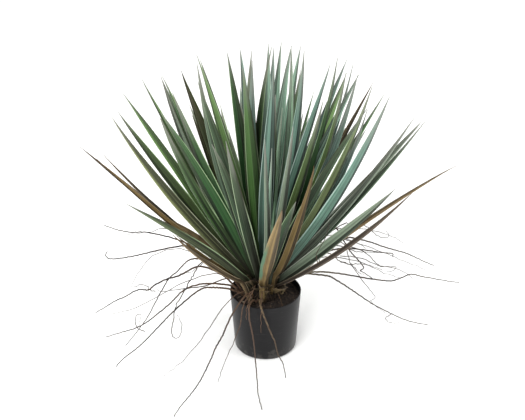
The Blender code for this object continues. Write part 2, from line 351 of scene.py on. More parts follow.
@dataclass(frozen=True)
class LeafFinish:
    """The colours of one kind of blade. One half of a folded blade is painted lighter: painted light and
    shade.

    Attributes:
        name: The kind's name.
        mid: Its main colour.
        pale: Its margins and worn parts.
        deep: Its grooves and blotches.
        tip: Its dry tip.
        rim: A second colour down one edge, or none.
        blotch: Share of blotches beyond the usual.
        foot_shade: How dark the foot gets.
        margin: Where the margin starts, as a share of the half width.
        halves: How much of the main colour the painted light half and the painted shade half show.
        streak: How strongly the pale streaks show: the leaf's own veins, lightened further as painted
            highlight.
        dried: The shaded half's margin towards the tip: a dry edge colour and painted shade.
        shaded: The foot, where it sits among other blades.
    """

    name: str
    mid: tuple
    pale: tuple = paint(158, 182, 140)
    deep: tuple = paint(9, 15, 8)
    tip: tuple = paint(132, 132, 124)
    rim: tuple | None = None
    blotch: float = 0.0
    foot_shade: float = 0.85
    margin: float = 0.9
    halves: tuple[float, float] = (1.88, 0.24)
    streak: float = 0.42
    dried: tuple = paint(56, 50, 38)
    shaded: tuple = paint(30, 24, 18)

    def build(self, underside: bool) -> bpy.types.Material:
        """Makes the material of one side of the blade.

        Args:
            underside: True for the outer side.

        Returns:
            The material.
        """
        side = "under" if underside else "upper"
        surface = Surface(f"leaf_{self.name}_{side}", {"Specular IOR Level": 0.16})
        uv = surface.node("ShaderNodeUVMap", {"uv_map": BLADE_MAP}).outputs[0]
        across, along, _ = surface.axes(uv)
        tone = surface.tone()
        seed = tone * 31
        edge = abs(across - 0.5) * 2
        fine = surface.grain(surface.vector(across * 30, along * 1.2, seed), 1.0)
        cord = surface.grain(surface.vector(across * 13, along * 0.8, seed + 3), 1.0)
        broad = surface.grain(surface.vector(across * 4, along * 0.9, seed + 7), 1.0)
        patch = surface.grain(surface.vector(across * 1.6, along * 9, seed + 13), 1.0, 3.0)

        # Painted light and shade: a lighter copy of the main colour on one half of the fold, a darker copy on
        # the other.
        light, shade = ([step * share for step in self.mid[:3]] + [1.0] for share in self.halves)
        # Pale streaks: the leaf's own fine veins, brightened further as painted highlight.
        pale_vein_and_highlight = [1.4 * middle + 0.1 * bright for middle, bright in zip(self.mid, self.pale)]
        colour = surface.blend(across.step(0.5, 0.03), shade, light)
        colour = surface.blend(tone * 0.25, colour, self.deep)
        colour = surface.layered(colour, (along + broad * 0.3, 0.9, 0.5, 0.3, self.pale))
        # The shaded half's margin towards the tip is darker: a dry edge colour and painted shade.
        outer = along.step(0.56, 0.2) * (1 - across.step(0.5, 0.1))
        margin = surface.blend(outer, self.pale, self.dried)
        colour = surface.layered(
            colour,
            (broad, 0.5, 0.24, 0.35, self.deep),
            (cord, 0.57, 0.1, self.streak, pale_vein_and_highlight),
            (cord, 0.43, -0.1, 0.4, self.deep),
            (fine, 0.6, 0.1, self.streak * 0.6, pale_vein_and_highlight),
            (fine, 0.4, -0.1, 0.3, self.deep),
            (patch, 0.56, 0.2, 0.1 + self.blotch, self.deep),
            (edge, self.margin, 0.06, 0.8, margin),
        )
        if self.rim:
            turned = (across + patch * 0.2).step(0.9, 0.1) * (1 - abs(along - 0.36) * 2).step(0.66, 0.2)
            colour = surface.blend(turned, colour, self.rim)
        colour = surface.layered(
            colour,
            (1 - along + patch * 0.1, 0.83, 0.42, self.foot_shade, self.shaded),
            (along + (cord + patch) * 0.16, 1.04, 0.24, 0.85, self.tip),
        )
        roughness = (0.5 if underside else 0.42) + patch * 0.25
        return surface.finish(colour, roughness, fine + cord * 1.4, 0.4 * MM, 0.6)


class Leaf(Enum):
    """The kinds of blade on this plant."""

    SAGE = LeafFinish("sage", paint(78, 104, 58))
    FERN = LeafFinish("fern", paint(51, 80, 36))
    MOSS = LeafFinish("moss", paint(88, 98, 66))
    LICHEN = LeafFinish("lichen", paint(116, 122, 84), paint(178, 184, 156))
    OLIVE = LeafFinish("olive", paint(43, 57, 23))
    SLOE = LeafFinish("sloe", paint(28, 36, 11), paint(96, 104, 62), tip=paint(70, 66, 52))
    DEEP = LeafFinish("deep", paint(34, 66, 33))
    INK = LeafFinish("ink", paint(18, 35, 15), paint(166, 184, 150), margin=0.82)
    PINE = LeafFinish("pine", paint(39, 57, 40))
    SLATE = LeafFinish("slate", paint(68, 84, 67), paint(156, 172, 148))
    GLAUCOUS = LeafFinish("glaucous", paint(78, 106, 93), paint(170, 192, 182))
    SILVER = LeafFinish("silver", paint(112, 142, 123), paint(192, 212, 192))
    FROST = LeafFinish("frost", paint(148, 186, 150), paint(208, 224, 206))
    ASH = LeafFinish("ash", paint(97, 110, 93), paint(172, 178, 164))
    UMBER = LeafFinish("umber", paint(66, 56, 38), paint(120, 106, 84), tip=paint(84, 70, 54), blotch=0.15)
    TAN = LeafFinish(
        "tan", paint(112, 95, 61), paint(168, 148, 112), paint(58, 44, 24), paint(96, 78, 54),
        rim=paint(86, 116, 92), blotch=0.2, foot_shade=0.3,
    )
    RUSSET = LeafFinish(
        "russet", paint(88, 73, 42), paint(156, 138, 108), paint(44, 32, 18), paint(96, 76, 50), blotch=0.25,
        foot_shade=0.4,
    )
    TAUPE = LeafFinish(
        "taupe", paint(68, 58, 48), paint(164, 152, 130), paint(26, 19, 14), paint(84, 70, 58), blotch=0.3
    )
    STRAW = LeafFinish(
        "straw", paint(104, 88, 62), paint(180, 166, 136), paint(32, 23, 14), paint(84, 66, 46), blotch=0.25,
        foot_shade=0.4,
    )


class Finishes:
    """Every material of the plant and its pot, each made once."""

    def __init__(self) -> None:
        """Starts with no material made."""
        self._leaves: dict[Leaf, tuple[bpy.types.Material, bpy.types.Material]] = {}
        self.pot = self._pot()
        self.medium = self._medium()
        self.grain = self._grain()
        self.crown = self._crown()
        self.fibre = self._fibre()
        self.root = self._root()

    def leaf(self, kind: Leaf) -> tuple[bpy.types.Material, bpy.types.Material]:
        """The upper and under materials of a kind of blade."""
        if kind not in self._leaves:
            self._leaves[kind] = (kind.value.build(False), kind.value.build(True))
        return self._leaves[kind]

    @staticmethod
    def _pot() -> bpy.types.Material:
        """Smooth charcoal plastic with a faint grain, scuffs and dust at the foot."""
        surface = Surface("pot_charcoal", {"Specular IOR Level": 0.24})
        place = surface.place()
        x, y, height = surface.axes(place)
        cloud = surface.grain(place, 26.0, 4.0)
        scuff = surface.grain(surface.vector(x * 40, y * 40, height * 700), 1.0, 3.0)
        dust = surface.grain(place, 90.0, 5.0)
        colour = surface.blend(cloud.step(0.5, 0.4), paint(9, 8, 10), paint(14, 13, 15))
        low = (0.03 - height) * 30
        colour = surface.layered(
            colour,
            (scuff, 0.66, 0.08, 0.2, paint(62, 61, 62)),
            (dust + low * 0.2, 0.66, 0.1, 0.3, paint(84, 80, 76)),
        )
        roughness = 0.27 + cloud * 0.1 + scuff.step(0.62, 0.1) * 0.1
        relief = surface.grain(place, 900.0, 2.0) + scuff * 0.2
        return surface.finish(colour, roughness, relief, 0.06 * MM, 0.35)

    @staticmethod
    def _medium() -> bpy.types.Material:
        """Dark bark mix with paler crumbs."""
        surface = Surface("medium_bark_mix", {"Specular IOR Level": 0.25})
        place = surface.place()
        crumb = surface.grain(place, 420.0, 4.0)
        cloud = surface.grain(place, 60.0, 3.0)
        colour = surface.blend(cloud.step(0.5, 0.3), paint(26, 21, 19), paint(44, 36, 31))
        colour = surface.layered(colour, (crumb, 0.64, 0.08, 0.35, paint(84, 70, 56)))
        return surface.finish(colour, 0.8 + crumb * 0.2, crumb + cloud, 1.4 * MM, 0.9)

    @staticmethod
    def _grain() -> bpy.types.Material:
        """Loose crumbs: black-brown bark to pale grit, by each crumb's own tone."""
        surface = Surface("medium_crumbs", {"Specular IOR Level": 0.3})
        place = surface.place()
        tone = surface.tone()
        speck = surface.grain(place, 900.0, 3.0)
        colour = surface.blend(tone.step(0.5, 0.5), paint(24, 20, 18), paint(52, 42, 34))
        colour = surface.blend(tone.step(0.97, 0.03), colour, paint(128, 116, 100))
        colour = surface.layered(colour, (speck, 0.6, 0.12, 0.3, paint(72, 60, 48)))
        return surface.finish(colour, 0.72 + speck * 0.3, speck, 0.5 * MM, 0.8)

    @staticmethod
    def _crown() -> bpy.types.Material:
        """The stump under the fibres: matted dark brown, streaked up and down."""
        surface = Surface("crown_stump", {"Specular IOR Level": 0.2})
        place = surface.place()
        x, y, height = surface.axes(place)
        streak = surface.grain(surface.vector(x * 420, y * 420, height * 50), 1.0, 4.0)
        colour = surface.blend(streak.step(0.5, 0.25), paint(14, 11, 8), paint(38, 28, 19))
        colour = surface.layered(colour, (streak, 0.66, 0.08, 0.4, paint(84, 64, 42)))
        return surface.finish(colour, 0.75 + streak * 0.25, streak, 1.2 * MM, 0.9)

    @staticmethod
    def _fibre() -> bpy.types.Material:
        """Dry fibres from dark umber to gold, by each fibre's own tone."""
        surface = Surface("crown_fibres", {"Specular IOR Level": 0.3})
        place = surface.place()
        tone = surface.tone()
        speck = surface.grain(place, 700.0, 2.0)
        colour = surface.blend(tone.step(0.5, 0.9), paint(23, 18, 15), paint(66, 52, 38))
        colour = surface.blend(tone.step(0.94, 0.05), colour, paint(140, 106, 66))
        colour = surface.layered(colour, (speck, 0.6, 0.2, 0.4, paint(54, 40, 28)))
        return surface.finish(colour, 0.6 + speck * 0.3, speck, 0.2 * MM, 0.6)

    @staticmethod
    def _root() -> bpy.types.Material:
        """Wiry root: warm brown near the crown, greyer and darker further out."""
        surface = Surface("root_bark", {"Specular IOR Level": 0.35})
        place = surface.place()
        x, y, _ = surface.axes(place)
        reach = abs(x + 0.006) + abs(y + 0.002)
        tone = surface.tone()
        band = surface.grain(place, 160.0, 3.0)
        speck = surface.grain(place, 1100.0, 2.0)
        near = surface.blend(tone.step(0.6, 0.2), paint(96, 73, 54), paint(124, 112, 78))
        near = surface.blend(band.step(0.5, 0.3) * 0.7, near, paint(52, 36, 28))
        far = surface.blend((band + tone * 0.12).step(0.56, 0.2), paint(30, 25, 26), paint(68, 55, 46))
        colour = surface.blend((reach + (tone - 0.5) * 0.08).step(0.13, 0.12), near, far)
        colour = surface.layered(colour, (speck, 0.62, 0.12, 0.5, paint(40, 32, 27)))
        return surface.finish(colour, 0.55 + band * 0.3, speck + band * 0.5, 0.3 * MM, 0.7)


# ------------------------------------------------------------------ reading the frame


class FrameShape:
    """A merged copy of one CAD node's mesh, read in rings or as a turned outline."""

    def __init__(self, node: str) -> None:
        """Copies the node's mesh and merges its loose triangles.

        Args:
            node: The CAD node's name.
        """
        self.shape = bmesh.new()
        self.shape.from_mesh(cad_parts[node].data)
        bmesh.ops.remove_doubles(self.shape, verts=self.shape.verts[:], dist=WELD)

    def rings(self, first: list[bmesh.types.BMVert]) -> list[list[Vector]]:
        """Walks along a lofted shape ring by ring.

        Args:
            first: The vertices of the end that the walk starts from.

        Returns:
            The rings' points in order.
        """
        seen = set(first)
        found = [first]
        while True:
            ring = []
            for vertex in found[-1]:
                for edge in vertex.link_edges:
                    other = edge.other_vert(vertex)
                    if other not in seen:
                        seen.add(other)
                        ring.append(other)
            if not ring:
                break
            found.append(ring)
        return [[vertex.co.copy() for vertex in ring] for ring in found]

    def farthest(self, origin: Vector) -> bmesh.types.BMVert:
        """The vertex farthest from a point."""
        return max(self.shape.verts, key=lambda vertex: (vertex.co - origin).length)

    def nearest_to(self, vertex: bmesh.types.BMVert, count: int) -> list[bmesh.types.BMVert]:
        """The vertices nearest to one of them, itself included."""
        return sorted(self.shape.verts, key=lambda other: (other.co - vertex.co).length)[:count]

    def outline(self, centre: Vector) -> list[tuple[float, float]]:
        """The half section of a turned shape, along +X from its centre.

        Args:
            centre: A point on the turning axis.

        Returns:
            (radius, height) pairs in their order along the section.
        """
        tiny = 0.01 * MM
        half = [v for v in self.shape.verts if abs(v.co.y - centre.y) < tiny and v.co.x > centre.x - tiny]
        chosen = set(half)
        ends = [v for v in half if sum(e.other_vert(v) in chosen for e in v.link_edges) == 1]
        walk = [max(ends, key=lambda vertex: vertex.co.z)]
        while True:
            ahead = [e.other_vert(walk[-1]) for e in walk[-1].link_edges]
            ahead = [vertex for vertex in ahead if vertex in chosen and vertex not in walk]
            if not ahead:
                break
            walk.append(ahead[0])
        section = [(vertex.co.x - centre.x, vertex.co.z) for vertex in walk]
        off_axis = [point for point in section if point[0] > tiny]
        return [(0.0, section[0][1]), *off_axis, (0.0, section[-1][1])]


def spin_outline(outline: Sequence[tuple[float, float]], centre: Vector, steps: int) -> bmesh.types.BMesh:
    """Turns a half section round a vertical axis into a closed bmesh.

    Args:
        outline: (radius, height) pairs that start and end on the axis.
        centre: A point on the axis.
        steps: Segments round the turn.

    Returns:
        The closed shape.
    """
    shape = bmesh.new()
    points = [shape.verts.new((centre.x + radius, centre.y, height)) for radius, height in outline]
    edges = [shape.edges.new(pair) for pair in zip(points, points[1:])]
    bmesh.ops.spin(
        shape, geom=points + edges, cent=centre, axis=UP, dvec=(0, 0, 0), angle=math.tau, steps=steps,
        use_merge=True, use_duplicate=False,
    )
    bmesh.ops.remove_doubles(shape, verts=shape.verts[:], dist=0.005 * MM)
    bmesh.ops.recalc_face_normals(shape, faces=shape.faces[:])
    return shape


# ------------------------------------------------------------------ bent grids


def bent_grid(
    shape: bmesh.types.BMesh, columns: int, rows: int, where: Callable[[int, int], Vector]
) -> dict[bmesh.types.BMVert, tuple[int, int]]:
    """Adds a grid to a bmesh and bends it into place.

    Args:
        shape: The bmesh.
        columns: Cells across.
        rows: Cells along.
        where: Gives the place of a corner from its column and row.

    Returns:
        The column and row of each new vertex.
    """
    made = bmesh.ops.create_grid(shape, x_segments=columns, y_segments=rows, size=1.0)["verts"]
    corners = {}
    for vertex in made:
        column = round((vertex.co.x + 1) / 2 * columns)
        row = round((vertex.co.y + 1) / 2 * rows)
        corners[vertex] = (column, row)
        vertex.co = where(column, row)
    return corners


def grid_faces(corners: Iterable[bmesh.types.BMVert]) -> set[bmesh.types.BMFace]:
    """The faces that touch any of some vertices."""
    return {face for vertex in corners for face in vertex.link_faces}


class StrandBundle:
    """Round strands of one material, merged into one piece."""

    def __init__(self, name: str, material: bpy.types.Material, sides: int) -> None:
        """Starts an empty bundle.

        Args:
            name: The piece's name.
            material: Its material.
            sides: Sides of each strand.
        """
        self.name = name
        self.material = material
        self.sides = sides
        self.shape = bmesh.new()
        self.tones = self.shape.verts.layers.float.new(TONE)

    def add(self, points: Sequence[Vector], thick: float, thin: float, tone: float) -> None:
        """Adds a strand that tapers and closes at both ends.

        Args:
            points: Its line.
            thick: Radius at its start.
            thin: Radius at its end.
            tone: Its own shade, from 0 to 1.
        """
        last = len(points) - 1
        headings = []
        for index in range(last + 1):
            ahead = points[min(index + 1, last)] - points[max(index - 1, 0)]
            headings.append(ahead.normalized())
        turns = [UP.rotation_difference(headings[0])]
        for before, after in zip(headings, headings[1:]):
            turns.append(before.rotation_difference(after) @ turns[-1])

        def corner(column: int, row: int) -> Vector:
            """A point on the strand's skin, drawn in to its line at both ends."""
            index = min(max(row - 1, 0), last)
            radius = 0.0 if row in (0, last + 2) else thick + (thin - thick) * index / last
            round_it = math.tau * column / self.sides
            return points[index] + turns[index] @ Vector(
                (radius * math.cos(round_it), radius * math.sin(round_it), 0.0)
            )

        for vertex in bent_grid(self.shape, self.sides, last + 2, corner):
            vertex[self.tones] = tone

    def install(self, slot: str, *nodes: str) -> bpy.types.Object:
        """Welds the bundle and seats it on the frame.

        Args:
            slot: The record's material slot; not used.
            *nodes: CAD nodes that it stands for.

        Returns:
            The piece.
        """
        bmesh.ops.remove_doubles(self.shape, verts=self.shape.verts[:], dist=WELD)
        bmesh.ops.recalc_face_normals(self.shape, faces=self.shape.faces[:])
        piece = finish_mesh(self.shape, self.name, [self.material])
        install(piece, slot, *nodes)
        return piece


# ------------------------------------------------------------------ blades


@dataclass(frozen=True)
class Station:
    """One cross-section of a blade: its keel, its level side and its half width."""

    centre: Vector
    side: Vector
    half_width: float


@dataclass(frozen=True)
class Form:
    """What sets one blade apart from a plain one.

    Attributes:
        kind: Its colours.
        swell: Its width, as a share of its stations' width.
        base_swell: Extra width at its base.
        pinch: How much narrower its outer half is.
        turn: Degrees that it turns about its own length, or none to turn towards the viewer.
        sink: How far its face lies behind its stations, as a share of its fold's rise.
        bow: Millimetres that its middle bends sideways.
        mirror: True to swap its light and its shaded half.
        foot: Where its base is moved to, in millimetres.
    """

    kind: Leaf = Leaf.GLAUCOUS
    swell: float = 1.04
    base_swell: float = 0.25
    pinch: float = 0.0
    turn: float | None = None
    sink: float = 0.0
    bow: float = 0.0
    mirror: bool = False
    foot: tuple[float, float, float] | None = None


@dataclass(frozen=True)
class Blade:
    """A folded sword blade, skinned finely over a few stations.

    Attributes:
        name: Its own name, which also seeds its chance.
        stations: Its cross-sections from base to tip.
        form: What sets it apart.
        rows: Cells along it.
        columns: Places of its lines of corners, as shares of the half width.
        fold_base: How steeply its halves rise at the base.
        fold_tip: How steeply they rise at the tip.
        sway: Its largest sideways bend in metres.
        twist: Its largest twist in degrees.
        largest_turn: Most degrees that it turns towards the viewer.
        thinnest: Its least half width in metres.
    """

    name: str
    stations: list[Station]
    form: Form
    rows: int = 36
    columns: tuple[float, ...] = (-1, -0.93, -0.64, -0.32, -0.08, 0, 0.08, 0.32, 0.64, 0.93, 1)
    fold_base: float = 1.0
    fold_tip: float = 0.4
    sway: float = 4 * MM
    twist: float = 8.0
    largest_turn: float = 36.0
    thinnest: float = 0.2 * MM

    def _facing(self) -> float:
        """Degrees that turn whichever flat already faces the viewer's side a little more that way."""
        base, middle, tip = self.stations[0], self.stations[len(self.stations) // 2], self.stations[-1]
        outward = tip.centre - base.centre
        flat = outward.cross(middle.side)
        sign = 1 if flat.dot(TOWARDS_VIEWER) > 0 else -1
        return self.largest_turn * sign * outward.x / Vector((outward.x, outward.y)).length

    def skin(self, shape: bmesh.types.BMesh, upper: int) -> None:
        """Adds the blade's upper surface to a bmesh.

        Args:
            shape: The bmesh, with its tone and blade map layers.
            upper: Material index of the upper side.
        """
        tones = shape.verts.layers.float[TONE]
        maps = shape.loops.layers.uv[BLADE_MAP]
        chance = random.Random(self.name)
        tone = chance.random()
        sway = chance.uniform(-self.sway, self.sway)
        twist = math.radians(chance.uniform(-self.twist, self.twist))
        ripple = chance.uniform(0.2, 0.7) * MM
        phase = chance.uniform(0, math.tau)
        form = self.form
        stations = list(self.stations)
        if form.foot:
            stations[0] = Station(Vector(form.foot) * MM, stations[0].side, stations[0].half_width)
        last = len(stations) - 1
        centres = [station.centre for station in stations]
        sides = [station.side for station in stations]
        widths = [station.half_width for station in stations]
        turn = math.radians(self._facing() if form.turn is None else form.turn)
        frames = []
        for row in range(self.rows + 1):
            share = row / self.rows
            place = share * last
            centre = glide(centres, place)
            before, after = (glide(centres, min(max(place + step, 0), last)) for step in (-0.05, 0.05))
            tangent = (after - before).normalized()
            side = glide(sides, place)
            level = (side - side.dot(tangent) * tangent).normalized()
            side = Quaternion(tangent, turn + twist * share) @ level
            centre = centre + sway * math.sin(math.pi * share) * share * side
            centre = centre + form.bow * MM * math.sin(math.pi * share ** 0.75) * side
            swell = form.swell + form.base_swell * (1 - share) ** 3
            swell -= form.pinch * math.sin(math.pi * share ** 2)
            half_width = max(glide(widths, place) * swell, self.thinnest)
            fold = self.fold_base + (self.fold_tip - self.fold_base) * share ** 0.7
            frames.append((centre, side, tangent.cross(side), half_width, fold, share))

        def corner(column: int, row: int) -> Vector:
            """A point of the blade's upper surface."""
            across = self.columns[column]
            centre, side, face, half_width, fold, share = frames[row]
            rise = fold * half_width * (math.sqrt(across * across + 0.006) - 0.077 - form.sink)
            flutter = ripple * across * abs(across) * math.sin(share * 21 + phase) * math.sin(math.pi * share)
            return centre - across * half_width * side + (rise + flutter) * face

        corners = bent_grid(shape, len(self.columns) - 1, self.rows, corner)
        for vertex in corners:
            vertex[tones] = tone
        for item in grid_faces(corners):
            item.material_index = upper
            for loop in item.loops:
                column, row = corners[loop.vert]
                across = -self.columns[column] if form.mirror else self.columns[column]
                loop[maps].uv = ((across + 1) / 2, row / self.rows)


def build_blades(
    name: str, blades: Sequence[Blade], finishes: Finishes, thickness: float = 0.7 * MM
) -> bpy.types.Object:
    """Makes one piece of one or more blades.

    Args:
        name: The piece's name.
        blades: Its blades.
        finishes: The plant's materials.
        thickness: Blade thickness in metres.

    Returns:
        The piece, with a Solidify modifier that gives the blades their under sides.
    """
    shape = bmesh.new()
    shape.verts.layers.float.new(TONE)
    shape.loops.layers.uv.new(BLADE_MAP)
    kinds = sorted({blade.form.kind for blade in blades}, key=lambda kind: kind.name)
    materials = [material for kind in kinds for material in finishes.leaf(kind)]
    for blade in blades:
        blade.skin(shape, 2 * kinds.index(blade.form.kind))
    piece = finish_mesh(shape, name, materials)
    shell = piece.modifiers.new("thickness", "SOLIDIFY")
    shell.thickness = thickness
    shell.offset = -1
    shell.material_offset = 1
    shell.material_offset_rim = 0
    return piece


# ------------------------------------------------------------------ the stump


@dataclass(frozen=True)
class Stump:
    """The crown's egg shape, and where blades, fibres and roots sit on it."""

    centre: Vector
    radius: float
    rise: float

    @classmethod
    def from_frame(cls) -> "Stump":
        """Reads its size from the frame: its waist is where it is widest."""
        low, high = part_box("crown")
        middle = (low + high) / 2
        shape = FrameShape("crown").shape
        waist = max(vertex.co.z for vertex in shape.verts if vertex.co.x > high.x - 0.1 * MM)
        return cls(Vector((middle.x, middle.y, waist)), (high.x - low.x) / 2, high.z - waist)

    def over(self, bearing: float, tilt: float, lift: float) -> Vector:
        """A point over the stump.

        Args:
            bearing: Degrees from +X towards +Y.
            tilt: Degrees down from its top.
            lift: Metres off its surface.

        Returns:
            The point.
        """
        fall = math.radians(tilt)
        flat = compass(bearing)
        normal = math.sin(fall) / self.radius * flat + math.cos(fall) / self.rise * UP
        point = self.radius * math.sin(fall) * flat + self.rise * math.cos(fall) * UP
        return self.centre + point + lift * normal.normalized()


@dataclass(frozen=True)
class Arch:
    """A blade given by its growth.

    Attributes:
        bearing: Degrees from +X towards +Y.
        lean: Degrees off upright at mid length.
        length: Millimetres.
        width: Millimetres at its widest.
        droop: Degrees of lean that it gains from base to tip.
        roll: Degrees that it turns about its own length.
        kind: Its colours.
        seat: Degrees down from the stump's top, or none to follow the lean.
        mirror: As in its form.
        bow: As in its form.
        foot: As in its form.
        steps: How many spans its stations make.
        widest: Where it is widest, as a share of its length.
        lowest_seat: Most degrees down the stump that it sits.
        depth: How deep in the stump it starts, in metres.
    """

    bearing: float
    lean: float
    length: float
    width: float
    droop: float
    roll: float
    kind: Leaf
    seat: float | None = None
    mirror: bool = False
    bow: float = 0.0
    foot: tuple[float, float, float] | None = None
    steps: int = 10
    widest: float = 0.4
    lowest_seat: float = 80.0
    depth: float = 3 * MM

    def blade(self, name: str, stump: Stump) -> Blade:
        """The blade that fills a gap between two of the frame's, set back a little."""
        form = Form(self.kind, sink=0.5, bow=self.bow, mirror=self.mirror, foot=self.foot)
        return Blade(name, self.stations(stump), form)

    def stations(self, stump: Stump) -> list[Station]:
        """Its cross-sections from base to tip.

        Args:
            stump: What it grows from.

        Returns:
            The stations, evenly spaced.
        """
        flat = compass(self.bearing)
        seat = self.seat or min(self.lowest_seat, 1.45 * self.lean)
        centre = stump.over(self.bearing, seat, -self.depth)
        found = []
        for step in range(self.steps + 1):
            share = step / self.steps
            fall = math.radians(self.lean + self.droop * (share - 0.5))
            tangent = math.sin(fall) * flat + math.cos(fall) * UP
            if step:
                centre = centre + self.length * MM / self.steps * tangent
            side = Quaternion(tangent, math.radians(self.roll)) @ compass(self.bearing + 90)
            swell = math.sin(math.pi / 2 * min(share / self.widest, 1.0))
            taper = 1 - max((share - self.widest) / (1 - self.widest), 0.0) ** 1.8
            found.append(Station(centre, side, self.width * MM / 2 * (0.5 + 0.5 * swell) * taper))
        return found


def stations_of(node: str, stump: Stump) -> list[Station]:
    """Reads a blade's cross-sections off its CAD node.

    Args:
        node: The node's name.
        stump: What it grows from.

    Returns:
        One station a ring from base to tip, the base drawn into the stump.
    """
    solid = FrameShape(node)
    rings = solid.rings([solid.farthest(stump.centre)])[::-1]
    tip = rings[-1][0]
    base = sum(rings[0], Vector()) / len(rings[0])
    level = UP.cross(Vector((tip.x - base.x, tip.y - base.y, 0.0)))
    found = []
    for ring in rings[:-1]:
        pairs = ((one, other) for one in ring for other in ring)
        left, right = max(pairs, key=lambda pair: (pair[0] - pair[1]).length)
        if (right - left).dot(level) < 0:
            left, right = right, left
        keel = [point for point in ring if point not in (left, right)]
        centre = sum(keel, Vector()) / len(keel)
        found.append(Station(centre, (right - left).normalized(), (right - left).length / 2))
    buried = found[0].centre + BURIED * (found[0].centre - found[1].centre).normalized()
    found[0] = Station(buried, found[0].side, found[0].half_width)
    found.append(Station(tip, found[-1].side, 0.0))
    return found


# ------------------------------------------------------------------ studio


@dataclass(frozen=True)
class Softbox:
    """A square area light aimed at the plant.

    Attributes:
        name: The light's name.
        place: Where it stands, in metres.
        size: Side in metres.
        power: Watts.
        aim: Where it points, in metres.
    """

    name: str
    place: tuple[float, float, float]
    size: float
    power: float
    aim: tuple[float, float, float] = (0.0, 0.0, 0.3)

    def build(self) -> None:
        """Adds the light."""
        lamp = bpy.data.lights.new(self.name, "AREA")
        lamp.shape = "SQUARE"
        lamp.size = self.size
        lamp.energy = self.power
        holder = bpy.data.objects.new(self.name, lamp)
        holder.location = self.place
        holder.rotation_euler = (Vector(self.aim) - Vector(self.place)).to_track_quat("-Z", "Y").to_euler()
        bpy.context.scene.collection.objects.link(holder)


@dataclass
class Studio:
    """Camera, soft light and a plain pale floor."""

    camera_place: tuple[float, float, float] = (-0.006, -1.4975, 1.0937)
    camera_tilt: float = 62.2
    lens: float = 61.7
    sensor: float = 36.0
    sky: float = 0.62
    lights: tuple[Softbox, ...] = (
        Softbox("key", (-1.5, -3.0, 3.3), 2.4, 190.0),
        Softbox("fill", (3.4, -1.8, 2.4), 1.4, 70.0),
        Softbox("top", (0.3, 1.0, 4.2), 1.8, 85.0),
    )

    def build(self) -> None:
        """Sets the camera, the lights and the floor."""
        scene = bpy.context.scene
        scene.view_settings.view_transform = "Standard"
        camera = bpy.data.cameras.new("camera")
        camera.lens = self.lens
        camera.sensor_width = self.sensor
        holder = bpy.data.objects.new("camera", camera)
        holder.location = self.camera_place
        holder.rotation_euler = (math.radians(self.camera_tilt), 0.0, 0.0)
        scene.collection.objects.link(holder)
        scene.camera = holder

        scene.world = bpy.data.worlds.new("studio")
        scene.world.use_nodes = True
        sky = scene.world.node_tree.nodes["Background"]
        sky.inputs["Color"].default_value = (1.0, 1.0, 1.0, 1.0)
        sky.inputs["Strength"].default_value = self.sky

        for light in self.lights:
            light.build()
        self._floor()
        LOG.info("studio set")

    @staticmethod
    def _floor() -> None:
        """Lays the floor."""
        surface = Surface("floor_pale", {"Roughness": 0.9, "Specular IOR Level": 0.1})
        grain = surface.grain(surface.place(), 3.0)
        surface.feed("Base Color", surface.blend(grain, paint(246, 246, 245), paint(250, 250, 249)))
        shape = bmesh.new()
        bmesh.ops.create_grid(shape, x_segments=1, y_segments=1, size=6.0)
        floor = finish_mesh(shape, "floor", [surface.material])


# ------------------------------------------------------------------ pot and medium


@dataclass
class Part:
    """One part of the plant, which makes its own pieces.

    Attributes:
        finishes: The plant's materials.
        stump: The crown's shape.
    """

    finishes: Finishes
    stump: Stump

    def build(self) -> None:
        """Makes the part's pieces."""
        raise NotImplementedError


@dataclass
class Pot(Part):
    """The plain round pot, turned finely on the frame's own outline."""

    segments: int = 160
    sharp_angle: float = 38.0

    def build(self) -> None:
        """Makes the pot."""
        outline = FrameShape("pot").outline(Vector())
        shape = spin_outline(outline, Vector(), self.segments)
        piece = finish_mesh(shape, "pot_shell", [self.finishes.pot])
        piece.data.set_sharp_from_angle(angle=math.radians(self.sharp_angle))
        install(piece, "pot_plastic", "pot")


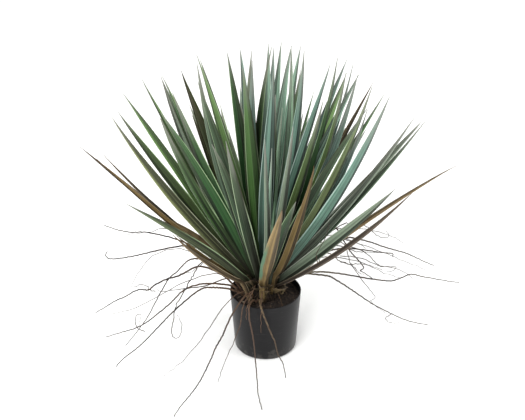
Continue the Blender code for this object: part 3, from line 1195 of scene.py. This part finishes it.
@dataclass
class GrowingMedium(Part):
    """The bark mix: an uneven top with loose crumbs on it."""

    radius: float = 66.8 * MM
    top: float = 116.5 * MM
    bottom: float = 96 * MM
    lip: float = 1.5 * MM
    rings: int = 34
    segments: int = 96
    crumb_count: int = 520
    crumb_sizes: tuple[float, ...] = (1.2, 1.6, 2.2, 3.0)
    crumb_margin: float = 4.5 * MM

    def level(self, x: float, y: float) -> float:
        """The height of the mix at a place."""
        swells = noise.noise(Vector((x, y, 0.2)) * 55) * 2.2
        lumps = noise.noise(Vector((x, y, 0.7)) * 190) * 1.1
        return self.top + (swells + lumps) * MM

    def build(self) -> None:
        """Makes the mix and its crumbs."""
        outline = [(self.radius * step / self.rings, self.top) for step in range(self.rings + 1)]
        outline += [(self.radius - self.lip, self.bottom), (0.0, self.bottom)]
        shape = spin_outline(outline, Vector(), self.segments)
        for vertex in shape.verts:
            if vertex.co.z > self.top - MM:
                vertex.co.z = self.level(vertex.co.x, vertex.co.y)
        piece = finish_mesh(shape, "bark_mix", [self.finishes.medium])
        install(piece, "medium", "growing_medium")
        self._crumbs()

    def _crumbs(self) -> None:
        """Scatters loose bark and grit."""
        chance = random.Random(41)
        shape = bmesh.new()
        tones = shape.verts.layers.float.new(TONE)
        for _ in range(self.crumb_count):
            reach = (self.radius - self.crumb_margin) * math.sqrt(chance.random())
            spot = reach * compass(chance.uniform(0, 360))
            size = chance.choice(self.crumb_sizes) * MM
            length, width = size * chance.uniform(0.8, 1.7), size * chance.uniform(0.6, 1.1)
            stretch = Vector((length, width, size * 0.55))
            place = Vector((spot.x, spot.y, self.level(spot.x, spot.y) + 0.2 * size))
            turn = Quaternion(UP, chance.uniform(0, 6.28)) @ Quaternion((1, 0, 0), chance.uniform(-0.6, 0.6))
            grown = bmesh.ops.create_icosphere(
                shape, subdivisions=1, radius=1.0, matrix=Matrix.LocRotScale(place, turn, stretch)
            )["verts"]
            tone = chance.random()
            for vertex in grown:
                vertex.co += Vector([chance.uniform(-0.25, 0.25) * size for _ in range(3)])
                vertex[tones] = tone
        piece = finish_mesh(shape, "bark_crumbs", [self.finishes.grain])
        piece.data.set_sharp_from_angle(angle=math.radians(30))
        install(piece, "medium")


# ------------------------------------------------------------------ crown


@dataclass
class Crown(Part):
    """The stump, its dry leaf bases and the matted fibres round it."""

    segments: int = 72
    longest_edge: float = 4 * MM
    clear_of_mix: float = 119 * MM
    pot_mouth: float = 68 * MM
    below_rim: float = 60 * MM
    scale_count: int = 34
    spiral: float = 137.5
    fibre_steps: int = 7
    fibre_tip: float = 0.12 * MM
    fibre_groups: tuple[tuple, ...] = (
        ("fibres_short", 240, (12, 28), 0.34 * MM),
        ("fibres_long", 54, (32, 60), 0.4 * MM),
    )

    def build(self) -> None:
        """Makes the stump, scales and fibres."""
        self._stump()
        self._scales()
        self._fibres()

    def _stump(self) -> None:
        """A rough copy of the frame's crown."""
        centre = self.stump.centre
        shape = spin_outline(FrameShape("crown").outline(centre), centre, self.segments)
        long_edges = [edge for edge in shape.edges if edge.calc_length() > self.longest_edge]
        bmesh.ops.subdivide_edges(shape, edges=long_edges, cuts=2, use_grid_fill=True)
        bmesh.ops.triangulate(shape, faces=[face for face in shape.faces if len(face.verts) > 4])
        shape.normal_update()
        moves = {}
        for vertex in shape.verts:
            if vertex.co.z > self.clear_of_mix:
                around = Vector((vertex.co.x, vertex.co.y, vertex.co.z * 0.35))
                moves[vertex] = vertex.normal * noise.noise(around * 240) * 2.2 * MM
        for vertex, move in moves.items():
            vertex.co += move
        piece = finish_mesh(shape, "stump", [self.finishes.crown])
        install(piece, "crown_fibre", "crown")

    def _scales(self) -> None:
        """Short dry leaf bases that clasp the stump."""
        chance = random.Random(7)
        blades = []
        for index in range(self.scale_count):
            row = Arch(
                bearing=index * self.spiral + chance.uniform(-10, 10),
                lean=chance.uniform(34, 66),
                length=chance.uniform(24, 46),
                width=chance.uniform(11, 17),
                droop=chance.uniform(-18, 10),
                roll=chance.uniform(-14, 14),
                kind=chance.choice((Leaf.UMBER, Leaf.UMBER, Leaf.UMBER, Leaf.TAUPE)),
                seat=chance.uniform(52, 84),
            )
            stations = row.stations(self.stump)
            blades.append(Blade(f"scale_{index}", stations, Form(row.kind), rows=10, fold_tip=0.6))
        install(build_blades("dry_scales", blades, self.finishes, 0.6 * MM), "crown_fibre")

    def _fibres(self) -> None:
        """Matted fibres, most short, some long enough to hang towards the rim."""
        chance = random.Random(19)
        for name, count, reach, thick in self.fibre_groups:
            bundle = StrandBundle(name, self.finishes.fibre, 3)
            for _ in range(count):
                line = self._fibre(chance, chance.uniform(*reach))
                bundle.add(line, thick, self.fibre_tip, chance.random())
            bundle.install("crown_fibre")

    def _fibre(self, chance: random.Random, length: float) -> list[Vector]:
        """One fibre's line: out of the stump, then down, with a wander.

        Args:
            chance: The bundle's own seeded chance.
            length: Its length in millimetres.

        Returns:
            Its points.
        """
        bearing = chance.uniform(0, 360)
        tilt = chance.uniform(48, 96)
        point = self.stump.over(bearing, tilt, -1 * MM)
        heading = (0.8 * compass(bearing) + chance.uniform(0.1, 1.1) * UP).normalized()
        wander = Vector([chance.uniform(-1, 1) for _ in range(3)])
        points = [point]
        for _ in range(self.fibre_steps):
            drop = Vector((0, 0, -0.34))
            kink = Vector([chance.uniform(-0.3, 0.3) for _ in range(3)])
            heading = (heading + drop + 0.2 * wander + kink).normalized()
            point = point + heading * length / self.fibre_steps * MM
            inside = Vector((point.x, point.y)).length < self.pot_mouth
            lowest = self.clear_of_mix if inside else self.below_rim
            if point.z < lowest:
                point.z = lowest + 0.4 * MM
            points.append(point.copy())
        return points


# ------------------------------------------------------------------ roots


@dataclass(frozen=True)
class Rootlet:
    """A fine root that stays in one upright plane through the crown."""

    bearing: float
    radius: float
    tone: float
    points: tuple[tuple[float, float], ...]

    def line(self, stump: Stump) -> list[Vector]:
        """Its route: reach from the stump's axis and height, in millimetres, made into places."""
        foot = Vector((stump.centre.x, stump.centre.y, 0.0))
        return [foot + reach * MM * compass(self.bearing) + height * MM * UP for reach, height in self.points]


@dataclass
class Roots(Part):
    """Wiry roots that leave the crown, cross the rim and hang or rise in the air."""

    fine_tip: float = 0.4 * MM
    fine_extra: float = 0.35
    fine_kink: float = 1.1
    strand_base: float = 2.1 * MM
    strand_tip: float = 0.8 * MM
    strand_kink: float = 0.45
    strand_sides: int = 8
    left: tuple[Rootlet, ...] = (
        Rootlet(212, 0.9, 0.2, (
            (96, 232), (133, 233), (146, 217), (157, 204), (168, 187), (181, 170), (190, 155), (197, 125),
            (202, 108), (200, 93), (194, 85), (186, 86), (181, 97), (179, 110), (183, 123), (188, 136),
        )),
        Rootlet(196, 0.6, 0.8, (
            (237, 74), (250, 84), (253, 101), (250, 114), (244, 116), (243, 105), (249, 87),
        )),
        Rootlet(204, 1.1, 0.3, (
            (30, 158), (73, 173), (120, 168), (156, 171), (172, 174), (205, 177), (216, 187),
        )),
        Rootlet(160, 0.8, 0.7, (
            (60, 170), (110, 205), (152, 215), (208, 225), (235, 214), (266, 204), (299, 193),
        )),
        Rootlet(200, 0.6, 0.6, ((214, 171), (225, 178), (228, 186), (242, 192), (250, 189), (255, 193))),
        Rootlet(188, 0.8, 0.4, ((40, 150), (90, 172), (150, 160), (210, 128), (262, 104), (300, 98))),
        Rootlet(176, 0.7, 0.9, ((40, 152), (96, 190), (160, 214), (214, 196), (250, 150), (262, 120))),
        Rootlet(222, 0.8, 0.5, ((36, 146), (80, 142), (124, 112), (168, 74), (214, 52), (250, 44))),
    )
    right: tuple[Rootlet, ...] = (
        Rootlet(350, 1.1, 0.2, (
            (40, 162), (83, 190), (107, 212), (122, 225), (139, 218), (148, 209), (163, 205), (179, 205),
            (198, 207), (214, 204), (231, 197),
        )),
        Rootlet(20, 0.9, 0.5, ((60, 182), (120, 210), (167, 209), (195, 197), (212, 186), (223, 178))),
        Rootlet(20, 0.8, 0.6, (
            (90, 200), (162, 240), (184, 243), (204, 237), (220, 228), (232, 216), (247, 202), (261, 195),
            (271, 195), (271, 202), (264, 210),
        )),
        Rootlet(350, 0.6, 0.8, ((150, 208), (163, 205), (177, 198), (187, 187), (197, 183))),
        Rootlet(10, 0.7, 0.7, (
            (90, 190), (164, 208), (203, 193), (219, 178), (235, 159), (254, 153), (272, 152), (267, 144),
            (254, 142),
        )),
        Rootlet(0, 0.6, 0.9, ((150, 205), (190, 200), (226, 184), (260, 177), (285, 163), (295, 153))),
        Rootlet(336, 0.6, 0.8, ((262, 143), (256, 137), (252, 129), (260, 123), (272, 125), (279, 131))),
        Rootlet(22, 0.9, 0.4, (
            (70, 176), (142, 197), (190, 177), (205, 169), (218, 166), (233, 162), (255, 156),
        )),
        Rootlet(322, 1.2, 0.1, (
            (60, 168), (99, 200), (120, 220), (130, 235), (125, 254), (144, 297), (150, 326),
        )),
        Rootlet(344, 1.0, 0.3, ((38, 156), (70, 178), (104, 196), (112, 214), (106, 226), (118, 240))),
        Rootlet(346, 0.7, 0.3, (
            (60, 182), (112, 236), (150, 257), (163, 240), (170, 217), (189, 188), (211, 161), (222, 145),
            (213, 136), (226, 123), (244, 112),
        )),
        Rootlet(8, 0.6, 0.7, (
            (70, 190), (125, 240), (170, 226), (217, 204), (259, 183), (291, 166), (330, 146),
        )),
        Rootlet(30, 0.7, 0.8, ((60, 170), (130, 214), (196, 212), (262, 188), (318, 158), (348, 134))),
        Rootlet(12, 0.8, 0.6, ((40, 160), (104, 186), (150, 182), (204, 164), (250, 134), (286, 118))),
    )
    front: tuple[Rootlet, ...] = (
        Rootlet(240, 1.0, 0.2, (
            (30, 150), (60, 142), (76, 126), (87, 92), (123, 60), (153, 36), (168, 14),
        )),
        Rootlet(246, 1.0, 0.1, ((34, 158), (50, 150), (64, 138), (72, 131), (76, 118), (75, 104))),
        Rootlet(268, 0.7, 0.4, ((36, 150), (56, 140), (70, 131), (74, 116), (76, 96), (79, 80))),
    )
    back: tuple[Rootlet, ...] = (
        Rootlet(60, 1.1, 0.3, ((36, 150), (84, 170), (130, 160), (180, 120), (222, 96), (262, 92))),
        Rootlet(84, 1.0, 0.5, ((36, 150), (90, 186), (150, 190), (204, 152), (236, 116))),
        Rootlet(104, 1.1, 0.2, ((36, 150), (80, 160), (120, 132), (150, 84), (178, 44), (204, 22))),
        Rootlet(122, 0.9, 0.7, ((36, 152), (96, 190), (158, 184), (216, 140), (258, 128))),
        Rootlet(140, 1.0, 0.4, ((36, 150), (86, 164), (140, 144), (196, 92), (240, 68))),
        Rootlet(74, 0.8, 0.8, ((36, 150), (70, 150), (84, 120), (96, 70), (118, 20), (132, 6))),
    )

    def build(self) -> None:
        """Makes the roots of the frame, then the finer ones."""
        names = sorted(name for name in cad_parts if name.startswith("root_"))
        for index, name in enumerate(names):
            self._frame_root(name, index / len(names))
        for name, rootlets in (
            ("rootlets_left", self.left),
            ("rootlets_right", self.right),
            ("rootlets_front", self.front),
            ("rootlets_back", self.back),
        ):
            bundle = StrandBundle(name, self.finishes.root, 6)
            for index, rootlet in enumerate(rootlets):
                line = self._kinked(rootlet.line(self.stump), f"{name}_{index}", self.fine_kink)
                bundle.add(line, (rootlet.radius + self.fine_extra) * MM, self.fine_tip, rootlet.tone)
            bundle.install("root_bark")

    @staticmethod
    def _kinked(route: Sequence[Vector], seed: str, kink: float) -> list[Vector]:
        """A smooth line through a route with small kinks.

        Args:
            route: The route's points.
            seed: Names the line's own chance.
            kink: Largest kink in millimetres.

        Returns:
            The line's points, four to a span.
        """
        chance = random.Random(seed)
        steps = 4 * (len(route) - 1)
        line = []
        for step in range(steps + 1):
            shift = Vector([chance.uniform(-kink, kink) * MM for _ in range(3)])
            line.append(glide(route, step / 4) + (shift if 0 < step < steps else Vector()))
        return line

    def _frame_root(self, node: str, tone: float) -> None:
        """Skins one root of the frame.

        Args:
            node: Its CAD node.
            tone: Its own shade.
        """
        solid = FrameShape(node)
        middle = self.stump.centre
        start = min(solid.shape.verts, key=lambda vertex: (vertex.co - middle).length)
        rings = solid.rings(solid.nearest_to(start, self.strand_sides))
        route = [sum(ring, Vector()) / len(ring) for ring in rings]
        route[0] = route[0] + (route[0] - route[1]).normalized() * 3 * MM
        bundle = StrandBundle(node.replace("root", "strand"), self.finishes.root, self.strand_sides)
        bundle.add(self._kinked(route, node, self.strand_kink), self.strand_base, self.strand_tip, tone)
        bundle.install("root_bark", node)


# ------------------------------------------------------------------ rosette


@dataclass
class Rosette(Part):
    """Every blade: the frame's own and the ones that fill between them."""

    FRAME_BLADES = {
        "inner_leaf_01": Form(Leaf.SAGE, mirror=True),
        "inner_leaf_02": Form(Leaf.DEEP, mirror=True),
        "inner_leaf_03": Form(Leaf.FERN),
        "inner_leaf_04": Form(Leaf.SILVER),
        "inner_leaf_06": Form(Leaf.SILVER),
        "inner_leaf_07": Form(Leaf.SILVER, mirror=True),
        "middle_leaf_01": Form(Leaf.SAGE, mirror=True),
        "middle_leaf_02": Form(Leaf.SAGE, swell=0.6),
        "middle_leaf_03": Form(Leaf.DEEP, mirror=True),
        "middle_leaf_04": Form(Leaf.SAGE, swell=0.7),
        "middle_leaf_05": Form(Leaf.DEEP),
        "middle_leaf_06": Form(Leaf.PINE, swell=0.85),
        "middle_leaf_07": Form(Leaf.SLOE),
        "middle_leaf_08": Form(Leaf.SAGE, mirror=True),
        "middle_leaf_11": Form(Leaf.DEEP),
        "middle_leaf_12": Form(Leaf.SILVER, mirror=True),
        "middle_leaf_13": Form(swell=0.85),
        "middle_leaf_15": Form(Leaf.SAGE),
        "middle_leaf_16": Form(Leaf.SILVER, mirror=True),
        "middle_leaf_17": Form(Leaf.UMBER, swell=0.55, mirror=True),
        "middle_leaf_18": Form(Leaf.PINE, swell=0.85, mirror=True),
        "middle_leaf_19": Form(Leaf.PINE),
        "outer_leaf_01": Form(Leaf.MOSS, foot=(-33, -28, 130)),
        "outer_leaf_02": Form(Leaf.LICHEN, mirror=True),
        "outer_leaf_03": Form(Leaf.OLIVE),
        "outer_leaf_04": Form(Leaf.ASH, mirror=True),
        "outer_leaf_05": Form(Leaf.PINE),
        "outer_leaf_06": Form(Leaf.ASH, swell=0.7),
        "outer_leaf_07": Form(Leaf.ASH),
        "outer_leaf_08": Form(Leaf.DEEP, swell=0.6),
        "outer_leaf_09": Form(Leaf.SILVER),
        "outer_leaf_10": Form(Leaf.DEEP, swell=0.5),
        "outer_leaf_11": Form(Leaf.SAGE),
        "dry_leaf_01": Form(Leaf.TAUPE, swell=0.9, base_swell=0.0),
        "dry_leaf_02": Form(Leaf.RUSSET, swell=0.75, base_swell=0.0, sink=1.8),
        "dry_leaf_03": Form(Leaf.STRAW, swell=0.72, base_swell=0.0, turn=45),
        "dry_leaf_04": Form(Leaf.TAUPE, swell=0.76, base_swell=0.0, turn=-42, mirror=True),
        "dry_leaf_05": Form(Leaf.TAN, swell=1.25, base_swell=0.0, pinch=0.4, turn=0, foot=(-2, -38, 120)),
        "dry_leaf_06": Form(
            Leaf.RUSSET, swell=0.9, base_swell=0.45, pinch=0.25, turn=0, sink=1.5, bow=19,
            foot=(11, -24, 138),
        ),
    }
    FILLERS = {
        "fill_blades_left": (
            Arch(204, 26, 402, 24, -14, 0, Leaf.FERN),
            Arch(168, 24, 427, 22, -16, 0, Leaf.ASH),
            Arch(216, 22, 446, 25, -5, 0, Leaf.DEEP, mirror=True),
            Arch(172, 15, 403, 18, -8, 0, Leaf.UMBER),
            Arch(224, 17, 480, 20, -15, 0, Leaf.SLATE),
            Arch(255, 28, 428, 18, -4, 0, Leaf.INK),
            Arch(196, 3, 448, 22, -17, 0, Leaf.OLIVE),
            Arch(232, 4, 437, 21, -14, 0, Leaf.GLAUCOUS),
            Arch(196, 17, 415, 21, 2, 14, Leaf.SLOE),
        ),
        "fill_blades_back_left": (
            Arch(132, 21, 344, 20, 3, 10, Leaf.DEEP),
            Arch(120, 24, 270, 18, 2, -8, Leaf.SAGE),
            Arch(128, 36, 360, 20, 2, -10, Leaf.SAGE),
            Arch(112, 33, 290, 18, 3, 8, Leaf.DEEP),
            Arch(98, 34, 370, 21, 3, -8, Leaf.SAGE),
            Arch(140, 28, 330, 20, 2, 8, Leaf.SLOE),
            Arch(116, 14, 330, 20, 2, 12, Leaf.DEEP),
            Arch(108, 44, 370, 20, 4, -10, Leaf.SAGE),
        ),
        "fill_blades_back_right": (
            Arch(84, 40, 375, 20, 3, -8, Leaf.SAGE),
            Arch(68, 36, 330, 20, 3, 10, Leaf.DEEP),
            Arch(52, 24, 310, 20, 2, -8, Leaf.GLAUCOUS),
            Arch(58, 40, 370, 20, 3, 12, Leaf.SLATE),
            Arch(36, 33, 320, 20, 3, -10, Leaf.SAGE),
            Arch(40, 44, 350, 20, 3, 8, Leaf.GLAUCOUS),
        ),
        "fill_blades_right": (
            Arch(330, 7, 468, 17, -17, 0, Leaf.FROST, mirror=True),
            Arch(326, 10, 469, 20, -13, 0, Leaf.GLAUCOUS),
            Arch(338, 16, 470, 17, -16, 0, Leaf.DEEP),
            Arch(316, 18, 416, 18, -7, 0, Leaf.OLIVE),
            Arch(334, 19, 459, 17, -22, 0, Leaf.OLIVE),
            Arch(350, 19, 460, 18, -18, 0, Leaf.GLAUCOUS),
            Arch(324, 22, 480, 19, -15, 0, Leaf.GLAUCOUS, mirror=True),
            Arch(328, 25, 471, 18, -18, 0, Leaf.MOSS),
            Arch(338, 26, 415, 18, -25, 0, Leaf.GLAUCOUS, mirror=True),
            Arch(325, 29, 484, 25, -19, 0, Leaf.GLAUCOUS),
            Arch(334, 34, 461, 23, -14, 0, Leaf.ASH, mirror=True),
            Arch(350, 37, 439, 15, -11, 0, Leaf.SLATE),
        ),
        "fill_blades_front": (
            Arch(271, 21, 416, 10, 0, 0, Leaf.ASH, seat=70, bow=8),
            Arch(275, 21, 396, 8, 5, 0, Leaf.SILVER, seat=72),
            Arch(286, 10, 400, 20, 2, 8, Leaf.FERN),
            Arch(0, 1, 453, 20, 17, 0, Leaf.FERN),
            Arch(309, 5, 371, 11, 2, 0, Leaf.FROST, seat=45),
            Arch(299, 12, 377, 14, -1, 0, Leaf.ASH, seat=66),
        ),
        "fill_blades_dry": (
            Arch(216, 45, 242, 12, -18, 20, Leaf.STRAW, foot=(-27, -44, 121)),
            Arch(205, 45, 206, 9, -10, -20, Leaf.RUSSET),
            Arch(197, 42, 232, 22, 10, -10, Leaf.STRAW),
            Arch(189, 42, 390, 10, -12, 30, Leaf.UMBER),
        ),
    }

    def build(self) -> None:
        """Makes every blade."""
        for node in sorted(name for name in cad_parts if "_leaf_" in name):
            blade = Blade(node, stations_of(node, self.stump), self.FRAME_BLADES.get(node, Form()))
            self._install(node.replace("leaf", "blade"), [blade], node)
        for name, rows in self.FILLERS.items():
            self._install(name, [row.blade(f"{name}_{index}", self.stump) for index, row in enumerate(rows)])

    def _install(self, name: str, blades: Sequence[Blade], *nodes: str) -> None:
        """Makes one piece of blades and seats it.

        Args:
            name: The piece's name.
            blades: Its blades.
            *nodes: CAD nodes that it stands for.
        """
        slot = "leaf_dry" if "dry" in name else "leaf_green"
        install(build_blades(name, blades, self.finishes), slot, *nodes)


# ------------------------------------------------------------------ main


def main() -> None:
    """Builds the studio, then the plant from the pot up."""
    logging.basicConfig(level=logging.INFO, format="%(name)s %(message)s")
    Studio().build()
    finishes = Finishes()
    stump = Stump.from_frame()
    for part in (Pot, GrowingMedium, Crown, Roots, Rosette):
        part(finishes, stump).build()


if __name__ == "__main__":
    main()
